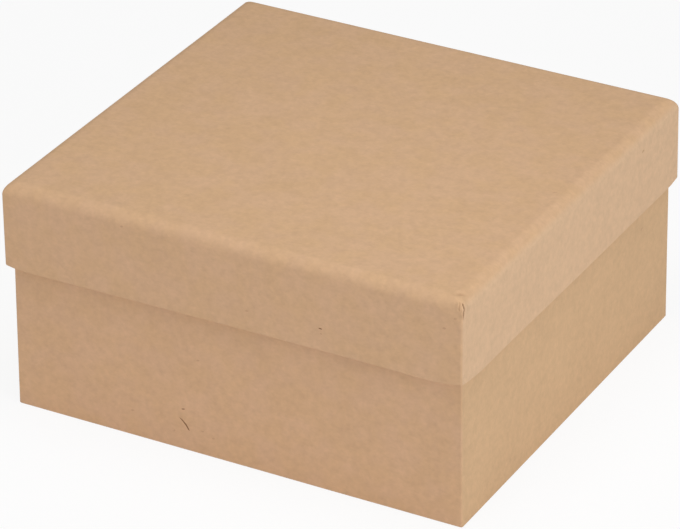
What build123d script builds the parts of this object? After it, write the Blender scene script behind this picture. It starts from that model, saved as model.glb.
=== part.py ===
from build123d import *
from math import radians, sin, sqrt
import os

# A craft box of folded board covered with kraft paper: a base tray and a lid that lifts off it.
# Each tray is one scored sheet of board in one sheet of paper. The paper's front and back panels
# run round the upright corners, the side panels lap over them, and all four turn in over the rim.
# +X is the box's width, +Z is up, and the origin is the middle of the underside.

# Driving dimensions, in millimetres
lid_width = 150.0  # outside, across the lapped side panels
lid_depth = 141.6  # outside, front to back
lid_height = 27.5  # outside, rim to top
box_height = 74.6  # underside to top, with the lid on
board = 0.8
paper = 0.12
lid_side_play = 0.12  # between the lid's turned-in paper and the base, at the left and the right
lid_front_play = 1.56  # the same, at the front and the back
lid_seat_play = 0.2  # between the lid's creases and the base's rim, upwards

lid_fold_radius = 4.0  # top edges, outside
lid_crease_radius = 3.0  # top edges, inside
lid_corner_radius = 0.75  # upright edges, outside
base_fold_radius = 0.4  # bottom edges, outside
base_crease_radius = 0.3  # bottom edges, inside
base_corner_radius = 0.55  # upright edges, outside
rim_radius = 0.35  # paper's fold over the board's edge

lid_turn_in = 14.0  # depth of the paper turned in over the rim
base_turn_in = 18.0
turn_in_square = 3.0  # height of a turn-in's ends before they are cut back
turn_in_cut_back = 4.0  # how far a turn-in's lower corners are cut back

seam_inset = 2.2  # side panel's cut edge from the front and back faces
panel_fade = 4.0  # height over which a side panel runs into the paper over the fold

# Split in the paper at the lid's front right corner, measured down from the lid's top
split_head = 1.2
split_bend = 2.6
split_foot = 6.1
split_width = 0.4  # at the bend
split_swing = 0.4  # how far the bend lies to the right of the corner
split_depth = 0.6

# Derived dimensions
wall = board + paper
base_width = lid_width - 2 * (paper + wall + paper + lid_side_play)
base_depth = lid_depth - 2 * (wall + paper + lid_front_play)

# The base's rounded rim seats in the creases along the lid's left and right edges
rim_centre_inset = paper + lid_side_play + paper + rim_radius  # from the lid's board
crease_reach = max(lid_crease_radius - rim_centre_inset, 0)
rim_reach = lid_crease_radius - rim_radius
seat_drop = rim_reach - sqrt(rim_reach**2 - crease_reach**2)
base_height = box_height - wall - seat_drop - lid_seat_play


def folded_block(width, depth, height, fold_radius):
    """A block whose four lower edges are rounded and meet in mitres."""
    with BuildPart() as block:
        with BuildSketch(Plane.XZ) as front_section:
            Rectangle(width, height, align=(Align.CENTER, Align.MIN))
            fillet(front_section.vertices().group_by(Axis.Y)[0], fold_radius)
        extrude(amount=depth / 2, both=True)
        with BuildSketch(Plane.YZ) as side_section:
            Rectangle(depth, height, align=(Align.CENTER, Align.MIN))
            fillet(side_section.vertices().group_by(Axis.Y)[0], fold_radius)
        extrude(amount=width / 2, both=True, mode=Mode.INTERSECT)
    return block.part


def facing_planes(distance, level, outward):
    """The planes on a pair of opposite walls, each looking in, with the rim at their origin."""
    return [
        Plane(
            origin=side * distance * outward + Vector(0, 0, level),
            x_dir=outward.cross(Vector(0, 0, side)),
            z_dir=-side * outward,
        )
        for side in (1, -1)
    ]


def wrapped_tray(width, depth, height, fold_radius, crease_radius, corner_radius, turn_in):
    """A tray standing on its floor, its width measured across the side panels."""
    body_width = width - 2 * paper
    inside_width = body_width - 2 * wall
    inside_depth = depth - 2 * wall
    outer_block = folded_block(body_width, depth, height, fold_radius)
    bare_block = folded_block(inside_width, inside_depth, height - wall - turn_in_square, crease_radius)

    # The hollow between the boards, below and beside the paper that is turned in over the rim
    with BuildPart() as hollow:
        with Locations((0, 0, wall)):
            add(bare_block)
        for span, distance, outward in (
            (inside_depth, inside_width / 2, Vector(1, 0, 0)),
            (inside_width, inside_depth / 2, Vector(0, 1, 0)),
        ):
            lower_end = span / 2 - turn_in_cut_back
            with BuildSketch(*facing_planes(distance, height, outward)):
                with BuildLine():
                    Polyline(
                        (-span / 2, -turn_in_square),
                        (span / 2, -turn_in_square),
                        (lower_end, -turn_in),
                        (-lower_end, -turn_in),
                        close=True,
                    )
                make_face()
            extrude(amount=paper, mode=Mode.SUBTRACT)

    with BuildPart() as tray:
        add(outer_block)
        with BuildSketch():
            RectangleRounded(body_width, depth, corner_radius)
        extrude(amount=height, mode=Mode.INTERSECT)

        # Mouth between the turned-in papers, and the paper's fold over the board's edge
        with BuildSketch(Plane.XY.offset(height)):
            Rectangle(inside_width - 2 * paper, inside_depth - 2 * paper)
        extrude(amount=-turn_in, mode=Mode.SUBTRACT)
        fillet(tray.edges().group_by(Axis.Z)[-1], rim_radius)
        add(hollow.part, mode=Mode.SUBTRACT)

        # Side panels, lapped over the paper that comes round the corners
        panel_foot = fold_radius
        panel_head = height - rim_radius
        with BuildSketch(Plane.XZ):
            with BuildLine():
                Polyline(
                    (body_width / 2 - board, panel_foot),
                    (body_width / 2, panel_foot),
                    (body_width / 2 + paper, panel_foot + panel_fade),
                    (body_width / 2 + paper, panel_head - rim_radius),
                    (body_width / 2, panel_head),
                    (body_width / 2 - board, panel_head),
                    close=True,
                )
            make_face()
            mirror(about=Plane.YZ)
        extrude(amount=depth / 2 - seam_inset, both=True)
    return tray.part


base_tray = wrapped_tray(
    base_width,
    base_depth,
    base_height,
    base_fold_radius,
    base_crease_radius,
    base_corner_radius,
    base_turn_in,
)
with BuildPart() as base:
    add(base_tray)
base.part.label = "base"

lid_tray = wrapped_tray(
    lid_width,
    lid_depth,
    lid_height,
    lid_fold_radius,
    lid_crease_radius,
    lid_corner_radius,
    lid_turn_in,
)
with BuildPart(Plane(origin=(0, 0, box_height), x_dir=(1, 0, 0), z_dir=(0, 0, -1))) as lid:
    add(lid_tray)

    # Split in the paper, cut on a plane that lies against the rounded corner
    arc_inset = lid_corner_radius * (1 - sin(radians(45)))
    corner_point = (lid_width / 2 - paper - arc_inset, -lid_depth / 2 + arc_inset, box_height)
    with BuildSketch(Plane(origin=corner_point, x_dir=(1, 1, 0), z_dir=(1, -1, 0))):
        with BuildLine():
            Polyline(
                (0, -split_head),
                (split_swing + split_width / 2, -split_bend),
                (0, -split_foot),
                (split_swing - split_width / 2, -split_bend),
                close=True,
            )
        make_face()
    extrude(amount=-split_depth, mode=Mode.SUBTRACT)
lid.part.label = "lid"

os.makedirs("parts", exist_ok=True)
export_step(base.part, "parts/base.step")
export_step(lid.part, "parts/lid.step")
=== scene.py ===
from dataclasses import dataclass
from math import ceil, cos, pi, radians, sin

import bmesh
import bpy
import numpy as np
from mathutils import Matrix, Vector, noise


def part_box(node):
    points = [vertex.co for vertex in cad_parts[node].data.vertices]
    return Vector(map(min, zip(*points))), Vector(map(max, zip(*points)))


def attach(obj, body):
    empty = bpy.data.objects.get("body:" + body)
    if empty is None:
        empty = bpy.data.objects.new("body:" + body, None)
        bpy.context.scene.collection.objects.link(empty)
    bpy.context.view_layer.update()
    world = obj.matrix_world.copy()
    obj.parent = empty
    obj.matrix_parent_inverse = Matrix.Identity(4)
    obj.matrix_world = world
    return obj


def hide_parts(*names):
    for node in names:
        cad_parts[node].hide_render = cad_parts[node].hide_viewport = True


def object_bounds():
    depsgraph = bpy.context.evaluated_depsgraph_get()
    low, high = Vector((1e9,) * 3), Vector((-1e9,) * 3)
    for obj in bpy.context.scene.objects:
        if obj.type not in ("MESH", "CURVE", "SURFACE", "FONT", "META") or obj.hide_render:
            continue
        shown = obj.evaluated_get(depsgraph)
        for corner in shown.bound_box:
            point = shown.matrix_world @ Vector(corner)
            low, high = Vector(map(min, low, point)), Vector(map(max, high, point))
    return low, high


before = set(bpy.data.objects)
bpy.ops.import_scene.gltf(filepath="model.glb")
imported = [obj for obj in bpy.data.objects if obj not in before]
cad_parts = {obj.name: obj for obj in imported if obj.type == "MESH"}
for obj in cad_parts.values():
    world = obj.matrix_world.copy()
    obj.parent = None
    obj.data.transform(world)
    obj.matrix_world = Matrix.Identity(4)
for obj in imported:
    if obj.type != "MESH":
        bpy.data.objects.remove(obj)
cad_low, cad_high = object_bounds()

# A craft box of folded board covered with kraft paper: a base tray, and the lid that lifts off it.
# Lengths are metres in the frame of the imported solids: +X is the box's width, the front is at -Y,
# and +Z is up. A tray is worked out standing on its floor, and the lid's tray is turned over.
mm = 0.001

# Sheets and folds that both trays share, as in the solids
board = 0.8 * mm
paper = 0.12 * mm
wall = board + paper
lined_wall = wall + paper  # with the paper that is turned in over the rim
rim_radius = 0.35 * mm
turn_in_square = 3.0 * mm  # height of a turn-in's ends before they are cut back
turn_in_cut_back = 4.0 * mm
panel_fade = 4.0 * mm  # height over which a side panel runs into the paper over the fold
inner_corner_radius = 0.3 * mm
seam_inset = 2.2 * mm  # side panel's cut edge, from the front and back faces
seam_width = 0.5 * mm  # over which that edge is pressed flat
cut_width = 0.04 * mm  # cut edge of the paper that is turned in, seen from above
panel_start = (radians(42), radians(80))  # round a fold or corner, where the sides' paler tone, which is painted light, takes over

# How finely the meshes are divided where both trays are alike
dome_step = 0.2 * mm  # rings between the flat of the outer floor and its fold
rim_steps = 5  # rings round each half of the rim
crease_steps = 5
square_step = 0.9 * mm  # rings down the turned-in paper, as far as its ends are square
turn_in_step = 1.2 * mm  # rings down the rest of it
bare_step = 2.4 * mm  # rings down the bare board
seam_room = 1.2  # half seams on each side of a panel's cut edge that other columns keep out of
end_columns = 4  # columns between a turn-in's end and the corner
end_room = 0.4 * mm  # from a turn-in's end to the corner, where the end is not cut back
rounding = 1e-6  # slack where steps and shares are compared
share_digits = 9
merge_distance = 0.0002 * mm
sharp_angle = radians(50)

# Marks on the meshes that the paper's colour follows, painted light and shade among them
panel_attribute = "side_panel_and_light"
shade_and_tear_attribute = "torn_and_shaded"


@dataclass
class Tray:
    """A tray's sizes, and how finely its mesh is divided."""

    name: str
    fold_radius: float  # floor's edges, outside
    crease_radius: float  # floor's edges, inside
    corner_radius: float  # upright edges, outside
    corner_swell: float  # what an upright edge's radius gains across the fold
    turn_in: float
    near_steps: tuple  # (distance from a side's end, column spacing up to there)
    far_step: float  # column spacing over the rest of a side
    fold_steps: int
    wall_steps: tuple  # (height above the fold, ring spacing up to there)
    wall_step: float  # ring spacing over the rest of a wall
    arc_steps: int

    def __post_init__(self):
        low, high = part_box(self.name)
        self.low = low
        self.high = high
        self.half_width = (high.x - low.x) / 2 - paper
        self.half_depth = (high.y - low.y) / 2
        self.height = high.z - low.z


lid = Tray(
    name="lid",
    fold_radius=4.0 * mm,
    crease_radius=3.0 * mm,
    corner_radius=0.75 * mm,
    corner_swell=2.0 * mm,
    turn_in=14.0 * mm,
    near_steps=((1.6 * mm, 0.08 * mm), (3.2 * mm, 0.2 * mm), (8.2 * mm, 0.5 * mm)),
    far_step=2.9 * mm,
    fold_steps=34,
    wall_steps=((4.0 * mm, 0.25 * mm),),
    wall_step=1.3 * mm,
    arc_steps=24,
)
base = Tray(
    name="base",
    fold_radius=0.4 * mm,
    crease_radius=0.3 * mm,
    corner_radius=0.55 * mm,
    corner_swell=0.2 * mm,
    turn_in=18.0 * mm,
    near_steps=((2.4 * mm, 0.3 * mm), (6.9 * mm, 0.75 * mm)),
    far_step=2.3 * mm,
    fold_steps=8,
    wall_steps=((4.0 * mm, 0.5 * mm),),
    wall_step=2.0 * mm,
    arc_steps=18,
)


def spread(start, stop, step):
    """Evenly spaced values from start to stop, no further apart than step."""
    count = ceil(abs(stop - start) / step - rounding) + 1
    return np.linspace(start, stop, max(2, count))


def smooth_step(low, high, value):
    """0 below low, 1 above high, and a smooth rise between them."""
    t = np.clip((value - low) / (high - low), 0, 1)
    return t * t * (3 - 2 * t)


def graded(near_steps, stop, far_step):
    """Values from 0 to stop, with a spacing of their own over each near stretch."""
    values = [0.0]
    for reach, step in near_steps:
        values.extend(spread(values[-1], reach, step)[1:])
    values.extend(spread(values[-1], stop, far_step)[1:])
    return np.array(values)


class Ring:
    """The points round a tray, from the front's left end: sides and corner arcs in turn."""

    def __init__(self, tray):
        columns = []
        for side, half in enumerate((tray.half_width, tray.half_depth) * 2):
            has_panel = side % 2 == 1
            turn = radians(90 * side - 90)
            out = (round(cos(turn)), round(sin(turn)))
            along = (-out[1], out[0])
            for share in self.side_shares(tray, half, has_panel):
                lapped = has_panel and abs(share) < self.seam_share(tray)
                columns.append((out, along, share, turn, False, lapped))
            for angle in np.linspace(0, pi / 2, tray.arc_steps + 1)[1:-1]:
                columns.append((out, along, 1.0, turn + angle, True, False))
        out, along, share, heading, on_arc, lapped = zip(*columns)
        self.out = np.array(out, float)
        self.along = np.array(along, float)
        self.share = np.array(share)
        self.on_arc = np.array(on_arc)
        self.lapped = np.array(lapped)
        self.normal = np.c_[np.cos(heading), np.sin(heading)]
        # Columns that face the sides, where the grain turns upright and painted light makes the tone
        # paler
        self.sideways = smooth_step(sin(panel_start[0]), sin(panel_start[1]), np.abs(self.normal[:, 0]))

    @staticmethod
    def seam_share(tray):
        """Where a side panel ends, as a share of its side."""
        return (tray.half_depth - seam_inset) / (tray.half_depth - tray.corner_radius)

    @staticmethod
    def side_shares(tray, half, has_panel):
        """Columns along a side, as shares from -1 to 1, with a pair at a panel's cut edge."""
        shares = 1 - graded(tray.near_steps, half, tray.far_step) / half
        if has_panel:
            seam = Ring.seam_share(tray)
            half_seam = seam_width / 2 / half
            shares = shares[np.abs(shares - seam) > seam_room * half_seam]
            shares = np.sort(np.r_[shares, seam - half_seam, seam + half_seam])[::-1]
        return np.r_[-shares, shares[::-1][1:]]

    def points(self, tray, inset, radius, shares):
        """The ring's places in plan, for a distance inside the outer faces and a corner radius."""
        reach = np.array([tray.half_width, tray.half_depth]) - inset - radius
        return (self.out + shares[:, None] * self.along) * reach + radius * self.normal


@dataclass
class Station:
    """One ring's place along a tray's section, from the outer floor round the rim to the inner floor."""

    inset: float
    level: float
    radius: float
    lap: float = 0.0  # share of the paper's thickness that the side panels stand out by
    panel: float = 0.0  # how far the side panels' own paper, with its painted light, shows here, from 0 to 1
    depth: float = None  # below the rim, where the turned-in paper's ends tell what is bare
    bare: bool = False  # wholly on the board, past the inner wall


def outer_stations(tray):
    """From the flat of the floor, over the fold and up the outer wall."""
    dome_radius = tray.corner_radius + tray.corner_swell
    for radius in spread(0, dome_radius, dome_step):
        yield Station(tray.fold_radius + dome_radius - radius, 0.0, radius)
    for angle in np.linspace(0, pi / 2, tray.fold_steps + 1)[1:]:
        inset = tray.fold_radius * (1 - sin(angle))
        radius = tray.corner_radius + tray.corner_swell * inset / tray.fold_radius
        panel = smooth_step(*panel_start, angle)
        yield Station(inset, tray.fold_radius * (1 - cos(angle)), radius, panel=panel)
    head = tray.height - rim_radius
    fade_levels = (tray.fold_radius, tray.fold_radius + panel_fade, head - rim_radius, head)
    for rise in graded(tray.wall_steps, head - tray.fold_radius, tray.wall_step)[1:]:
        level = tray.fold_radius + rise
        lap = np.interp(level, fade_levels, (0, 1, 1, 0))
        yield Station(0.0, level, tray.corner_radius, lap=lap, panel=1.0)


def rim_stations(tray):
    """Over the rim, where the paper folds round the board's edge."""
    for angle in np.linspace(0, pi / 2, rim_steps + 1)[1:]:
        inset = rim_radius * (1 - cos(angle))
        level = tray.height - rim_radius * (1 - sin(angle))
        yield Station(inset, level, tray.corner_radius - inset, panel=1.0)
    for angle in np.linspace(0, pi / 2, rim_steps + 1):
        inset = lined_wall - rim_radius * (1 - sin(angle))
        depth = rim_radius * (1 - cos(angle))
        radius = max(tray.corner_radius - inset, inner_corner_radius)
        yield Station(inset, tray.height - depth, radius, depth=depth)


def inner_stations(tray):
    """Down the turned-in paper, then the bare board, to the flat of the inner floor."""
    crease_top = tray.height - wall - tray.crease_radius
    depths = np.r_[
        spread(rim_radius, turn_in_square, square_step)[1:],
        spread(turn_in_square + cut_width, tray.turn_in, turn_in_step),
        spread(tray.turn_in + cut_width, crease_top, bare_step),
    ]
    for depth in depths:
        yield Station(lined_wall, tray.height - depth, inner_corner_radius, depth=depth)
    for angle in np.linspace(0, pi / 2, crease_steps + 1)[1:]:
        inset = wall + tray.crease_radius * (1 - cos(angle))
        level = wall + tray.crease_radius * (1 - sin(angle))
        yield Station(inset, level, inner_corner_radius, bare=True)
    for radius in (inner_corner_radius / 2, 0.0):
        inset = wall + tray.crease_radius + inner_corner_radius - radius
        yield Station(inset, wall, radius, bare=True)


def turn_in_shares(tray, ring, depth):
    """Columns moved so that a close pair of them follows each turn-in's cut end, and which are on it."""
    shares = ring.share.copy()
    lined = np.zeros(len(shares), bool)
    cut_depths = (turn_in_square, tray.turn_in, tray.height - wall)
    cut = np.interp(depth, cut_depths, (0, turn_in_cut_back, 0))
    for along_x, half in ((True, tray.half_width), (False, tray.half_depth)):
        half = half - lined_wall - inner_corner_radius
        chosen = (ring.along[:, 0] != 0) == along_x
        levels = np.unique(np.abs(ring.share[chosen]).round(share_digits))
        last_lined = levels[-1 - end_columns]
        edge = 1 - (end_room + cut) / half
        knots = (0, last_lined, levels[-end_columns], 1)
        places = (0, edge, edge + cut_width / half, 1)
        size = np.interp(np.abs(ring.share), knots, places)
        shares = np.where(chosen, np.sign(ring.share) * size, shares)
        lined |= chosen & (np.abs(ring.share) <= last_lined + rounding)
    shares[ring.on_arc] = 1.0
    lined &= ~ring.on_arc & (depth <= tray.turn_in)
    return shares, lined | (depth <= turn_in_square)


def ring_rows(tray, ring):
    """Every ring's points, which of them lie on bare board, and how far a side panel's paper, with its
    painted light, shows.
    """
    rows = []
    bare_rows = []
    panel_rows = []
    for station in (*outer_stations(tray), *rim_stations(tray), *inner_stations(tray)):
        shares = ring.share
        push = paper * station.lap * ring.lapped
        bare = station.bare
        if station.depth is not None:
            shares, lined = turn_in_shares(tray, ring, station.depth)
            push = np.where(lined, 0.0, paper)
            bare = ~lined
        plan = ring.points(tray, station.inset, station.radius, shares)
        plan += push[:, None] * ring.normal
        rows.append(np.c_[plan, np.full(len(plan), station.level)])
        bare_rows.append(np.broadcast_to(bare, len(plan)))
        panel_rows.append(station.panel * ring.sideways)
    return np.array(rows), np.array(bare_rows), np.array(panel_rows)


def quads(index):
    """The quads between neighbouring rows and columns of a table of vertex numbers."""
    corners = (index[:-1, :-1], index[:-1, 1:], index[1:, 1:], index[1:, :-1])
    return np.stack([c.ravel() for c in corners], axis=1)


def floor_grid(tray, row):
    """The flat inside a ring whose corners have closed to points."""
    level = row[0, 2]
    half = np.abs(row[:, :2]).max(axis=0)
    xs = Ring.side_shares(tray, tray.half_width, False) * half[0]
    ys = Ring.side_shares(tray, tray.half_depth, True) * half[1]
    grid_y, grid_x = np.meshgrid(ys, xs, indexing="ij")
    points = np.c_[grid_x.ravel(), grid_y.ravel(), np.full(grid_x.size, level)]
    index = np.arange(grid_x.size).reshape(grid_x.shape)
    return points, quads(index)


def tray_mesh(tray, turned_over):
    """The tray as one closed mesh. Its first material covers the paper, its second the bare board."""
    ring = Ring(tray)
    rows, bare, panel = ring_rows(tray, ring)
    count, around = bare.shape
    index = np.arange(count * around).reshape(count, around)
    walls = quads(np.c_[index, index[:, :1]])
    outer_points, outer_quads = floor_grid(tray, rows[0])
    inner_points, inner_quads = floor_grid(tray, rows[-1])
    points = np.concatenate([rows.reshape(-1, 3), outer_points, inner_points])
    faces = np.concatenate([
        walls,
        outer_quads + count * around,
        inner_quads + count * around + len(outer_points),
    ])
    on_board = np.r_[
        bare.ravel()[walls].all(axis=1),
        np.zeros(len(outer_quads), bool),
        np.ones(len(inner_quads), bool),
    ]
    points[:, 2] = tray.high.z - points[:, 2] if turned_over else tray.low.z + points[:, 2]

    mesh = bpy.data.meshes.new(tray.name)
    mesh.from_pydata(points.tolist(), [], faces.tolist())
    mesh.polygons.foreach_set("material_index", on_board.astype(np.int32))
    shown_panel = mesh.attributes.new(panel_attribute, "FLOAT", "POINT")
    shown_panel.data.foreach_set("value", np.r_[panel.ravel(), np.zeros(len(points) - panel.size)])
    work = bmesh.new()
    work.from_mesh(mesh)
    bmesh.ops.remove_doubles(work, verts=work.verts, dist=merge_distance)
    bmesh.ops.recalc_face_normals(work, faces=work.faces)
    work.to_mesh(mesh)
    work.free()
    return mesh


def vectors(items, name):
    """One vector for each item, as a table."""
    values = np.zeros(len(items) * 3, np.float32)
    items.foreach_get(name, values)
    return values.reshape(-1, 3).astype(float)


def reshape(mesh, shifts_at):
    """Moves each vertex by what shifts_at says for the places and normals."""
    places = vectors(mesh.vertices, "co")
    places += shifts_at(places, vectors(mesh.vertex_normals, "vector"))
    mesh.vertices.foreach_set("co", places.astype(np.float32).ravel())
    mesh.update()


def hump(value, half_width):
    """A smooth bump of height 1 round 0."""
    return np.exp(-((value / half_width) ** 2))


# Hand-made unevenness of the walls. The waves stay inside the lid's play on the base.
wave_size = 0.05 * mm
wave_length = 34.0 * mm
lid_wave_shift = Vector((3.1, 7.7, 1.3))
base_wave_shift = Vector((8.9, 2.3, 5.1))
foot_flare = 0.18 * mm  # outwards, at the base's foot
rim_lean = 0.36 * mm  # inwards, at the base's rim
front_flare = 0.2 * mm  # what the foot's flare gains along the front
right_flare = 0.25 * mm  # and along the right side, at its front end
back_skew = (0.5 * mm, -0.35 * mm)  # lid's back right corner, backwards: at the rim and at the top


def waves(places, shift):
    """How far the sheet's slow waves move each place outwards."""
    return np.array([wave_size * noise.noise(Vector(p) / wave_length + shift) for p in places])


# Lid's rim line, which is drawn up at the corners: (place along the wall, rise), in millimetres
front_rim = (
    (-75, 0.45), (-71, -0.25), (-66, -0.4), (-50, -0.27), (-30, -0.2), (0, -0.05),
    (35, 0.0), (50, -0.1), (60, -0.33), (66, -0.3), (70, 0.0), (75, 0.95),
)
right_rim = (
    (-71, 0.95), (-68, 0.35), (-63, -0.2), (-59, -0.45), (-50, -0.4), (-30, -0.45),
    (0, -0.7), (30, -0.8), (60, -0.85), (66, -0.75), (71, 0.0),
)
back_rim = ((-75, 0.3), (-70, 0.0), (-64, -0.3), (0, -0.2), (60, -0.4), (70, -0.2), (75, 0.0))
left_rim = ((-71, 0.45), (-66, -0.1), (-58, -0.4), (0, -0.2), (60, -0.35), (66, -0.1), (71, 0.3))
rim_reach = 7.0 * mm  # height over which the walls follow the rim line


def rim_rise(places):
    """How far the lid's walls are drawn up or let down."""
    x, y, z = places.T
    along_x = lid.half_depth - np.abs(y) < lid.half_width - np.abs(x)
    rise = np.zeros(len(places))
    for line, chosen, along in (
        (front_rim, along_x & (y < 0), x),
        (back_rim, along_x & (y > 0), x),
        (right_rim, ~along_x & (x > 0), y),
        (left_rim, ~along_x & (x < 0), y),
    ):
        stops, rises = np.array(line).T * mm
        rise[chosen] = np.interp(along[chosen], stops, rises)
    return rise * smooth_step(rim_reach, 0, z - lid.low.z)


# Crushed paper at the lid's front right corner. Drop is measured down from the lid's top, and across
# level along the corner, to the right of its ridge. Lines are in millimetres.
damage_reach = 6.0 * mm  # in from the corner's ridge
damage_drop = 7.0 * mm
split_line = (  # (drop, across)
    (1.45, 0.45), (2.2, 0.57), (2.95, 0.74), (3.6, 0.42), (4.4, 0.3), (6.5, 0.33),
)
split_half_widths = (  # (drop, half width)
    (1.45, 0.0), (1.8, 0.15), (2.9, 0.22), (3.3, 0.25),
    (3.7, 0.18), (4.6, 0.085), (5.4, 0.035), (6.5, 0.0),
)
split_depth = 0.7 * mm
split_edge = 0.05 * mm  # half the width over which its edges fall away
split_full = 0.08 * mm  # half width from which it has its full depth
lip_height = 0.15 * mm
lip_width = 0.26 * mm
pleats = (  # course as (drop, across), depth, half width, share of painted shade
    (((1.3, -0.25), (2.1, -0.57), (2.7, -0.76), (3.1, -0.7)), 0.16 * mm, 0.19 * mm, 0.4),
    (((1.3, -1.02), (2.3, -1.4), (3.3, -1.6)), 0.08 * mm, 0.3 * mm, 0.14),
    (((2.8, -0.3), (3.4, -0.3)), 0.06 * mm, 0.16 * mm, 0.2),
    (((2.6, 2.1), (4.2, 2.2)), 0.03 * mm, 0.24 * mm, 0.2),
)
pleat_fade = 0.3 * mm
dents = (  # in from the right face, back from the front, half length, half width, depth, share of painted shade
    (2.78 * mm, 4.25 * mm, 1.5 * mm, 0.55 * mm, 0.36 * mm, 0.34),
    (3.08 * mm, 5.2 * mm, 4.0 * mm, 1.6 * mm, 0.12 * mm, 0.06),
)
dent_heading = radians(34)
dent_drop = 2.0 * mm  # how far down the fold a dent reaches


def line_at(line, drop):
    """A course's place, or a width along it, at a drop below the lid's top."""
    drops, values = np.array(line).T * mm
    return np.interp(drop, drops, values)


def corner_damage(places):
    """How far the paper stands out or is sunk round the lid's front right corner, and how much painted
    shade darkens it.
    """
    diagonal = cos(pi / 4)
    ridge_inset = lid.corner_radius * (1 - diagonal)
    from_ridge_x = places[:, 0] - (lid.half_width - ridge_inset)
    from_ridge_y = places[:, 1] + (lid.half_depth - ridge_inset)
    across = (from_ridge_x + from_ridge_y) * diagonal
    inward = (from_ridge_y - from_ridge_x) * diagonal
    drop = lid.high.z - places[:, 2]
    near_corner = (inward < damage_reach) & (drop < damage_drop)

    from_split = np.abs(across - line_at(split_line, drop))
    half_width = line_at(split_half_widths, drop)
    opened = smooth_step(0, split_full, half_width)
    gap = opened * smooth_step(split_edge, -split_edge, from_split - half_width)
    lips = opened * hump(from_split - half_width - lip_width, lip_width) * (1 - gap)
    amount = lip_height * lips - split_depth * gap
    # The split's inside: torn board, darkened further with painted shade
    shade_and_tear = gap

    for course, depth, half_width, share in pleats:
        first = course[0][0] * mm
        last = course[-1][0] * mm
        held = smooth_step(first - pleat_fade, first, drop) * smooth_step(last + pleat_fade, last, drop)
        pleat = held * hump(across - line_at(course, drop), half_width)
        amount -= depth * pleat
        # Painted shade in the pleat's crease
        shade_and_tear = np.maximum(shade_and_tear, share * pleat)

    for inset, set_back, half_length, half_width, depth, share in dents:
        x = places[:, 0] - (lid.half_width - inset)
        y = places[:, 1] + (lid.half_depth - set_back)
        dent = hump(x * cos(dent_heading) + y * sin(dent_heading), half_length)
        dent *= hump(y * cos(dent_heading) - x * sin(dent_heading), half_width)
        dent *= drop < dent_drop
        amount -= depth * dent
        # Painted shade in the dent's hollow
        shade_and_tear = np.maximum(shade_and_tear, share * dent)
    return np.where(near_corner, amount, 0.0), np.where(near_corner, shade_and_tear, 0.0)


def mark_shade_and_tear(mesh):
    """Notes how much painted shade, with the torn board in the split, darkens the lid's paper at each
    vertex.
    """
    shade_and_tear = mesh.attributes.new(shade_and_tear_attribute, "FLOAT", "POINT")
    shade_and_tear.data.foreach_set("value", corner_damage(vectors(mesh.vertices, "co"))[1])


def lid_shifts(places, normals):
    """How far each place on the lid is moved."""
    shifts = normals * (waves(places, lid_wave_shift) + corner_damage(places)[0])[:, None]
    shifts[:, 2] += rim_rise(places)
    skew = np.interp(places[:, 2], (lid.low.z, lid.high.z), back_skew)
    shifts[:, 1] += skew * places[:, 0] / lid.half_width * smooth_step(0, lid.half_depth, places[:, 1])
    return shifts


def base_shifts(places, normals):
    """How far each place on the base is moved."""
    shifts = normals * waves(places, base_wave_shift)[:, None]
    lean = np.interp(places[:, 2], (base.low.z, base.high.z), (foot_flare, -rim_lean))
    shifts[:, 0] += lean * places[:, 0] / base.half_width
    shifts[:, 1] += lean * places[:, 1] / base.half_depth
    foot = np.interp(places[:, 2], (base.low.z, base.high.z), (1, 0))
    to_right = np.clip(places[:, 0] / base.half_width, 0, 1)
    to_front = np.clip(-places[:, 1] / base.half_depth, -1, 1)
    shifts[:, 0] += right_flare * foot * to_right * (1 + to_front) / 2
    shifts[:, 1] -= front_flare * foot * np.maximum(to_front, 0)
    return shifts


# Materials


@dataclass
class Pattern:
    """Noise in a material, by the size of its features and, where it is grained, their length."""

    size: float
    detail: float
    shift: tuple  # place in the noise
    length: float = None  # along the grain
    tone: float = 0.0  # weight in the colour
    height: float = 0.0  # weight in the relief


cloud_pattern = Pattern(size=17.0 * mm, detail=3.0, shift=(0.3, 0.1, 0.7))
hue_pattern = Pattern(size=9.0 * mm, detail=2.0, shift=(0.6, 0.9, 0.1))
mottle_pattern = Pattern(size=2.4 * mm, detail=2.0, shift=(0.9, 0.4, 0.2), tone=0.2, height=0.8)
fleece_pattern = Pattern(
    size=0.85 * mm, detail=1.0, shift=(0.5, 0.8, 0.6), length=1.1 * mm, tone=0.125, height=0.7,
)
streak_pattern = Pattern(
    size=0.5 * mm, detail=1.0, shift=(0.2, 0.6, 0.4), length=1.8 * mm, tone=0.035, height=0.4,
)
tooth_pattern = Pattern(size=0.28 * mm, detail=1.0, shift=(0.7, 0.3, 0.9), tone=0.02, height=0.4)
fibre_pattern = Pattern(size=0.4 * mm, detail=2.0, shift=(0.4, 0.2, 0.8))

speck_spacing = 7.0 * mm
speck_radius = 0.35 * mm
speck_core = 0.4  # share of a speck's radius that is dark throughout
speck_share = 0.35  # share of the scatter's places that hold a speck
speck_shift = (0.1, 0.2, 0.3)

hue_reach = 0.2  # noise at which one tone of the pulp has wholly given way to the other
# Dark brown of the painted shade in the lid's split, creases and dents, over the torn board in the split
shade_and_tear_tone = (146, 112, 82)
fibre_shading = 0.3
sheen = 0.12
paper_roughness = 0.86
fibre_roughness = 0.8
roughness_swing = 0.2
paper_relief = 0.025 * mm
fibre_relief = 0.02 * mm


def linear(red, green, blue):
    """A display colour, from 0 to 255, as linear light."""
    parts = (value / 255 for value in (red, green, blue))
    return tuple(p / 12.92 if p <= 0.04045 else ((p + 0.055) / 1.055) ** 2.4 for p in parts)


def opaque(tone):
    """A display colour as linear light, with nothing seen through it."""
    return (*linear(*tone), 1)


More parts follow.
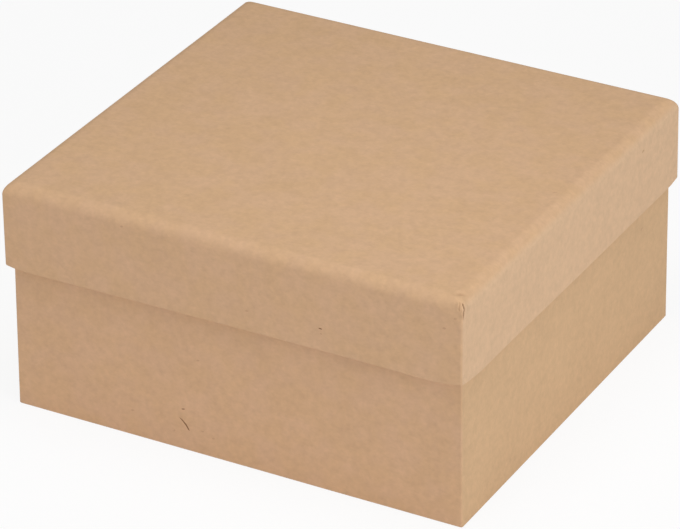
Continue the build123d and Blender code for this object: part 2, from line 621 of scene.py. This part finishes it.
class Finish:
    """A material's node tree, with short calls for the nodes that the finishes share."""

    def __init__(self, name):
        self.material = bpy.data.materials.new(name)
        self.material.use_nodes = True
        self.tree = self.material.node_tree
        self.tree.nodes.clear()
        self.place = self.node("ShaderNodeTexCoord").outputs["Object"]

    def node(self, kind, **settings):
        """A new node with these settings."""
        made = self.tree.nodes.new(kind)
        for setting, value in settings.items():
            setattr(made, setting, value)
        return made

    def put(self, socket, value):
        """Links a socket to another, or sets its value."""
        if isinstance(value, bpy.types.NodeSocket):
            self.tree.links.new(value, socket)
        else:
            socket.default_value = value

    def math(self, operation, first, second):
        """What an operation makes of two values."""
        made = self.node("ShaderNodeMath", operation=operation)
        self.put(made.inputs[0], first)
        self.put(made.inputs[1], second)
        return made.outputs[0]

    def about(self, middle, swing, value):
        """A middle value, and a share of another that swings about 0."""
        return self.math("ADD", self.math("MULTIPLY", value, swing), middle)

    def attribute(self, name):
        """A mark on the mesh, from 0 to 1."""
        return self.node("ShaderNodeAttribute", attribute_name=name).outputs["Fac"]

    def moved(self, stretch, shift):
        """The object's coordinates, stretched and shifted."""
        made = self.node("ShaderNodeMapping")
        self.put(made.inputs["Vector"], self.place)
        made.inputs["Scale"].default_value = stretch
        made.inputs["Location"].default_value = shift
        return made.outputs["Vector"]

    def noise(self, pattern, stretch=(1, 1, 1)):
        """Noise about 0, with features of about the pattern's size."""
        made = self.node("ShaderNodeTexNoise")
        self.put(made.inputs["Vector"], self.moved(stretch, pattern.shift))
        made.inputs["Scale"].default_value = 1 / pattern.size
        made.inputs["Detail"].default_value = pattern.detail
        return self.math("SUBTRACT", made.outputs["Fac"], 0.5)

    def ramp(self, value, low, high):
        """0 below low, 1 above high, and a smooth rise between them."""
        made = self.node("ShaderNodeMapRange", interpolation_type="SMOOTHSTEP")
        self.put(made.inputs["Value"], value)
        made.inputs["From Min"].default_value = low
        made.inputs["From Max"].default_value = high
        return made.outputs["Result"]

    def grained(self, pattern, panel):
        """Streaks along the paper's grain, which runs along the width and up the side panels."""
        share = pattern.size / pattern.length
        level = self.noise(pattern, (share, 1, 1))
        upright = self.noise(pattern, (1, 1, share))
        return self.between(panel, level, upright)

    def between(self, share, first, second):
        """The first value where the share is 0, and the second where it is 1."""
        made = self.node("ShaderNodeMix", data_type="FLOAT")
        self.put(made.inputs[0], share)
        self.put(made.inputs[2], first)
        self.put(made.inputs[3], second)
        return made.outputs[0]

    def specks(self):
        """Small round specks at some of the places in a scatter."""
        cells = self.node("ShaderNodeTexVoronoi")
        self.put(cells.inputs["Vector"], self.moved((1, 1, 1), speck_shift))
        cells.inputs["Scale"].default_value = 1 / speck_spacing
        radius = speck_radius / speck_spacing
        near = self.ramp(cells.outputs["Distance"], radius, radius * speck_core)
        split = self.node("ShaderNodeSeparateColor")
        self.put(split.inputs[0], cells.outputs["Color"])
        chosen = self.math("LESS_THAN", split.outputs[0], speck_share)
        return self.math("MULTIPLY", near, chosen)

    def total(self, *parts):
        """The sum of weighted values, given as (weight, value) pairs."""
        result = None
        for weight, value in parts:
            term = self.math("MULTIPLY", value, weight)
            result = term if result is None else self.math("ADD", result, term)
        return result

    def blend(self, share, first, second):
        """The first colour where the share is 0, and the second where it is 1."""
        made = self.node("ShaderNodeMix", data_type="RGBA")
        self.put(made.inputs["Factor"], share)
        self.put(made.inputs["A"], first)
        self.put(made.inputs["B"], second)
        return made.outputs["Result"]

    def scaled(self, colour, factor):
        """A colour times a factor."""
        made = self.node("ShaderNodeVectorMath", operation="SCALE")
        self.put(made.inputs[0], colour)
        self.put(made.inputs["Scale"], factor)
        return made.outputs[0]

    def finish(self, colour, roughness, height, relief):
        """A matt surface with that colour, roughness and fine relief."""
        shader = self.node("ShaderNodeBsdfPrincipled")
        bump = self.node("ShaderNodeBump")
        bump.inputs["Distance"].default_value = relief
        self.put(bump.inputs["Height"], height)
        self.put(shader.inputs["Base Color"], colour)
        self.put(shader.inputs["Roughness"], roughness)
        self.put(shader.inputs["Normal"], bump.outputs["Normal"])
        shader.inputs["Specular IOR Level"].default_value = sheen
        output = self.node("ShaderNodeOutputMaterial")
        self.put(output.inputs["Surface"], shader.outputs["BSDF"])
        return self.material


def kraft_finish(name, pulp_tones, side_light_tone, cloud_weight, speck_weight):
    """Unbleached paper: cloudy pulp, mixed fibres and a few dark bits, with a slight tooth."""
    kraft = Finish(name)
    panel = kraft.attribute(panel_attribute)
    cloud = kraft.noise(cloud_pattern)
    mottle = kraft.noise(mottle_pattern)
    grain = (
        (mottle_pattern, mottle),
        (fleece_pattern, kraft.grained(fleece_pattern, panel)),
        (streak_pattern, kraft.grained(streak_pattern, panel)),
        (tooth_pattern, kraft.noise(tooth_pattern)),
    )
    tone = kraft.total(
        (cloud_weight, cloud),
        *((pattern.tone, value) for pattern, value in grain),
        (-speck_weight, kraft.specks()),
    )
    height = kraft.total(*((pattern.height, value) for pattern, value in grain))
    hue = kraft.ramp(kraft.noise(hue_pattern), -hue_reach, hue_reach)
    pulp = kraft.blend(hue, *(opaque(pulp_tone) for pulp_tone in pulp_tones))
    # Painted light: the lid's sides take a paler tone, standing in for the brighter light that falls on
    # them
    pulp = kraft.blend(panel, pulp, opaque(side_light_tone))
    # Painted shade in the lid's split, creases and dents, with the torn board in the split
    pulp = kraft.blend(kraft.attribute(shade_and_tear_attribute), pulp, opaque(shade_and_tear_tone))
    colour = kraft.scaled(pulp, kraft.math("ADD", tone, 1.0))
    roughness = kraft.about(paper_roughness, roughness_swing, mottle)
    return kraft.finish(colour, roughness, height, paper_relief)


def fibre_finish(name, tone):
    """A stray bit of bark or dark fibre in the paper."""
    fibre = Finish(name)
    streak = fibre.noise(fibre_pattern)
    colour = fibre.scaled(linear(*tone), fibre.about(1.0, fibre_shading, streak))
    roughness = fibre.about(fibre_roughness, roughness_swing, streak)
    return fibre.finish(colour, roughness, streak, fibre_relief)


lid_paper = kraft_finish(
    "lid_paper",
    pulp_tones=((203, 167, 133), (202, 166, 129)),
    # The paler tone of the lid's sides is painted light
    side_light_tone=(210, 177, 144),
    cloud_weight=0.05,
    speck_weight=0.03,
)
base_paper = kraft_finish(
    "base_paper",
    pulp_tones=((204, 167, 133), (203, 166, 129)),
    side_light_tone=(203, 169, 132),
    cloud_weight=0.1,
    speck_weight=0.03,
)
bare_board = kraft_finish(
    "bare_board",
    pulp_tones=((190, 157, 124), (186, 155, 121)),
    side_light_tone=(188, 156, 122),
    cloud_weight=0.1,
    speck_weight=0.16,
)
dark_fibre = fibre_finish("dark_fibre", (136, 101, 71))
faint_fibre = fibre_finish("faint_fibre", (191, 155, 121))


# The two trays


def add_piece(name, mesh, materials):
    """Adds a mesh to the scene as a piece, smooth but for its sharp edges."""
    for material in materials:
        mesh.materials.append(material)
    mesh.shade_smooth()
    mesh.set_sharp_from_angle(angle=sharp_angle)
    piece = bpy.data.objects.new(name, mesh)
    bpy.context.scene.collection.objects.link(piece)
    return piece


lid_mesh = tray_mesh(lid, turned_over=True)
mark_shade_and_tear(lid_mesh)
reshape(lid_mesh, lid_shifts)
lid_piece = add_piece("kraft_lid", lid_mesh, (lid_paper, bare_board))
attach(lid_piece, "lid")
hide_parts("lid")

base_mesh = tray_mesh(base, turned_over=False)
reshape(base_mesh, base_shifts)
base_piece = add_piece("kraft_base", base_mesh, (base_paper, bare_board))
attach(base_piece, "base")
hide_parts("base")


# Dark bits in the paper, as flattened fibres half sunk in the sheet

fleck_half_thickness = 0.04 * mm
fleck_sections = 12
fleck_sides = 8
fleck_bluntness = 0.6  # below 1, the ends taper late
dark = 0  # numbers of the finishes on a piece of flecks
faint = 1


def add_fleck(work, spine, width, outward, finish_number, shifts_at):
    """A fibre along the spine's points, tapering to both ends, on the uneven sheet."""
    spine = np.array(spine)
    outward = np.array(outward, float)
    spine += shifts_at(spine, np.tile(outward, (len(spine), 1)))
    knots = np.linspace(0, 1, len(spine))
    shares = np.linspace(0, 1, fleck_sections + 1)
    course = np.stack([np.interp(shares, knots, spine[:, k]) for k in range(3)], axis=1)
    run = np.gradient(course, axis=0)
    sideways = np.cross(outward, run)
    sideways /= np.linalg.norm(sideways, axis=1)[:, None]
    turns = np.linspace(0, 2 * pi, fleck_sides, endpoint=False)
    rings = []
    for share, place, side in zip(shares[1:-1], course[1:-1], sideways[1:-1]):
        taper = sin(pi * share) ** fleck_bluntness
        ring = [
            place + taper * (width / 2 * cos(t) * side + fleck_half_thickness * sin(t) * outward)
            for t in turns
        ]
        rings.append([work.verts.new(p) for p in ring])
    faces = []
    for first, second in zip(rings, rings[1:]):
        for k in range(fleck_sides):
            after = (k + 1) % fleck_sides
            faces.append(work.faces.new((first[k], first[after], second[after], second[k])))
    for tip_place, ring in ((course[0], rings[0]), (course[-1], rings[-1])):
        tip = work.verts.new(tip_place)
        for k in range(fleck_sides):
            faces.append(work.faces.new((tip, ring[k], ring[(k + 1) % fleck_sides])))
    for face in faces:
        face.material_index = finish_number


def fleck_piece(name, flecks, body, shifts_at):
    """All of a tray's flecks as one piece."""
    work = bmesh.new()
    for fleck in flecks:
        add_fleck(work, *fleck, shifts_at)
    bmesh.ops.recalc_face_normals(work, faces=work.faces)
    mesh = bpy.data.meshes.new(name)
    work.to_mesh(mesh)
    work.free()
    piece = add_piece(name, mesh, (dark_fibre, faint_fibre))
    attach(piece, body)


def on_front(tray, *points):
    """Points on a tray's front, from places across and up in millimetres."""
    return [(x * mm, -tray.half_depth, z * mm) for x, z in points]


def on_right(tray, *points):
    """Points on a tray's right side panel, from places back and up in millimetres."""
    return [(tray.half_width + paper, y * mm, z * mm) for y, z in points]


def on_top(*points):
    """Points on the lid's top, from places across and back in millimetres."""
    return [(x * mm, y * mm, lid.high.z) for x, y in points]


front = (0, -1, 0)
right = (1, 0, 0)
up = (0, 0, 1)
lid_flecks = (  # course, width, way out of the sheet, finish
    (on_front(lid, (29.6, 54.3), (30.15, 54.32), (30.75, 54.22)), 0.42 * mm, front, dark),
    (on_front(lid, (30.0, 52.65), (30.7, 52.7)), 0.5 * mm, front, faint),
    (on_front(lid, (72.1, 68.6), (73.1, 68.9)), 0.65 * mm, front, faint),
    (on_front(lid, (68.6, 64.75), (69.8, 65.0)), 0.7 * mm, front, faint),
    (on_front(lid, (-34.7, 70.35), (-33.7, 70.65)), 0.6 * mm, front, faint),
    (on_front(lid, (5.9, 53.55), (7.0, 53.85)), 0.55 * mm, front, faint),
    (on_right(lid, (44.4, 67.75), (46.0, 68.05)), 0.6 * mm, right, faint),
    (on_top((68.3, -2.4), (69.5, -1.15)), 0.6 * mm, up, faint),
)
base_flecks = (
    (
        on_front(base, (-18.35, 10.5), (-17.3, 9.7), (-16.1, 8.5), (-15.35, 7.3), (-15.1, 6.75)),
        0.5 * mm,
        front,
        dark,
    ),
    (on_front(base, (-17.6, 13.5), (-17.0, 13.6), (-16.4, 13.8)), 0.36 * mm, front, dark),
    (on_front(base, (-11.2, 7.8), (-10.1, 7.95)), 0.5 * mm, front, faint),
    (on_front(base, (-20.45, 5.25), (-19.85, 5.85)), 0.5 * mm, front, faint),
    (on_front(base, (-7.5, 6.35), (-6.5, 6.65)), 0.65 * mm, front, faint),
    (on_front(base, (-34.8, 8.25), (-33.8, 8.55)), 0.6 * mm, front, faint),
    (on_front(base, (-12.2, 31.05), (-11.2, 31.35)), 0.55 * mm, front, faint),
    (on_right(base, (48.0, 39.4), (49.3, 40.05)), 0.8 * mm, right, faint),
)
fleck_piece("lid_flecks", lid_flecks, "lid", lid_shifts)
fleck_piece("base_flecks", base_flecks, "base", base_shifts)


# Floor, light and camera

floor_size = 16.0
floor_drop = 0.05 * mm
floor_white = 0.88  # share of plain white in what the eye sees of the floor
floor_colour = (0.92, 0.92, 0.92, 1)
pure_white = (1, 1, 1, 1)
ambient_level = 0.34
plain_light = (1.0, 1.0, 1.0)
rosy_light = (0.994, 0.944, 1.0)
lamps = (  # name, place, size, power, colour
    ("overhead", Vector((0.1, -0.2, 1.0)), 0.8, 1.22, plain_light),
    ("crown", Vector((0.05, -0.06, 0.4)), 0.25, 0.53, plain_light),
    ("right", Vector((1.2, -0.25, 0.42)), 0.7, 6.4, plain_light),
    ("front", Vector((-0.3, -1.3, 0.33)), 0.6, 4.1, rosy_light),
)

view_azimuth = radians(29.002)
view_elevation = radians(28.957)
view_roll = radians(0.556)
view_distance = 1275.5 * mm
view_aim_right = -2.53 * mm
view_aim_up = 28.32 * mm
focal_length = 223.7  # millimetres, on a sensor 36 wide


def seen_directly(tree):
    """1 for a ray that shows a surface itself, straight or in a reflection, and 0 for lighting rays."""
    path = tree.nodes.new("ShaderNodeLightPath")
    total = path.outputs["Is Camera Ray"]
    for ray in ("Is Glossy Ray", "Is Transmission Ray"):
        either = tree.nodes.new("ShaderNodeMath")
        either.operation = "MAXIMUM"
        tree.links.new(total, either.inputs[0])
        tree.links.new(path.outputs[ray], either.inputs[1])
        total = either.outputs[0]
    return total


def mixed(tree, share, first, second):
    """The first shader where the share is 0, and the second where it is 1."""
    mix = tree.nodes.new("ShaderNodeMixShader")
    tree.links.new(share, mix.inputs["Fac"])
    tree.links.new(first.outputs[0], mix.inputs[1])
    tree.links.new(second.outputs[0], mix.inputs[2])
    return mix.outputs[0]


def add_floor():
    """A matt floor that looks almost white to the eye, and keeps a faint shadow."""
    material = bpy.data.materials.new("pale_floor")
    material.use_nodes = True
    tree = material.node_tree
    tree.nodes.clear()
    matt = tree.nodes.new("ShaderNodeBsdfDiffuse")
    matt.inputs["Color"].default_value = floor_colour
    white = tree.nodes.new("ShaderNodeEmission")
    white.inputs["Color"].default_value = pure_white
    white.inputs["Strength"].default_value = 1.0
    share = tree.nodes.new("ShaderNodeMath")
    share.operation = "MULTIPLY"
    tree.links.new(seen_directly(tree), share.inputs[0])
    share.inputs[1].default_value = floor_white
    output = tree.nodes.new("ShaderNodeOutputMaterial")
    tree.links.new(mixed(tree, share.outputs[0], matt, white), output.inputs["Surface"])

    half = floor_size / 2
    corners = [(-half, -half, 0), (half, -half, 0), (half, half, 0), (-half, half, 0)]
    mesh = bpy.data.meshes.new("floor")
    mesh.from_pydata(corners, [], [(0, 1, 2, 3)])
    mesh.materials.append(material)
    floor = bpy.data.objects.new("floor", mesh)
    floor.location.z = cad_low.z - floor_drop
    bpy.context.scene.collection.objects.link(floor)


def add_world():
    """An even light from all round, which looks white where it is seen."""
    world = bpy.data.worlds.new("studio")
    world.use_nodes = True
    tree = world.node_tree
    tree.nodes.clear()
    ambient = tree.nodes.new("ShaderNodeBackground")
    ambient.inputs["Color"].default_value = pure_white
    ambient.inputs["Strength"].default_value = ambient_level
    white = tree.nodes.new("ShaderNodeBackground")
    white.inputs["Color"].default_value = pure_white
    white.inputs["Strength"].default_value = 1.0
    output = tree.nodes.new("ShaderNodeOutputWorld")
    tree.links.new(mixed(tree, seen_directly(tree), ambient, white), output.inputs["Surface"])
    bpy.context.scene.world = world


def add_lamp(name, place, size, power, colour):
    """A square soft lamp that looks at the box."""
    light = bpy.data.lights.new(name, "AREA")
    light.size = size
    light.energy = power
    light.color = colour
    lamp = bpy.data.objects.new(name, light)
    lamp.location = place
    lamp.rotation_mode = "QUATERNION"
    lamp.rotation_quaternion = (-place).to_track_quat("-Z", "Y")
    lamp.visible_camera = False
    bpy.context.scene.collection.objects.link(lamp)


def add_camera():
    """The photograph's view, which is turned a little about its own axis."""
    back = Vector((
        sin(view_azimuth) * cos(view_elevation),
        -cos(view_azimuth) * cos(view_elevation),
        sin(view_elevation),
    ))
    level_right = Vector((cos(view_azimuth), sin(view_azimuth), 0))
    level_up = back.cross(level_right)
    right_hand = cos(view_roll) * level_right - sin(view_roll) * level_up
    upward = back.cross(right_hand)
    aim = view_aim_right * right_hand + view_aim_up * upward
    data = bpy.data.cameras.new("camera")
    data.lens = focal_length
    camera = bpy.data.objects.new("camera", data)
    turn = Matrix((right_hand, upward, back)).transposed()
    camera.matrix_world = Matrix.Translation(aim + view_distance * back) @ turn.to_4x4()
    bpy.context.scene.collection.objects.link(camera)
    bpy.context.scene.camera = camera


add_floor()
add_world()
for lamp in lamps:
    add_lamp(*lamp)
add_camera()
bpy.context.scene.view_settings.view_transform = "Standard"
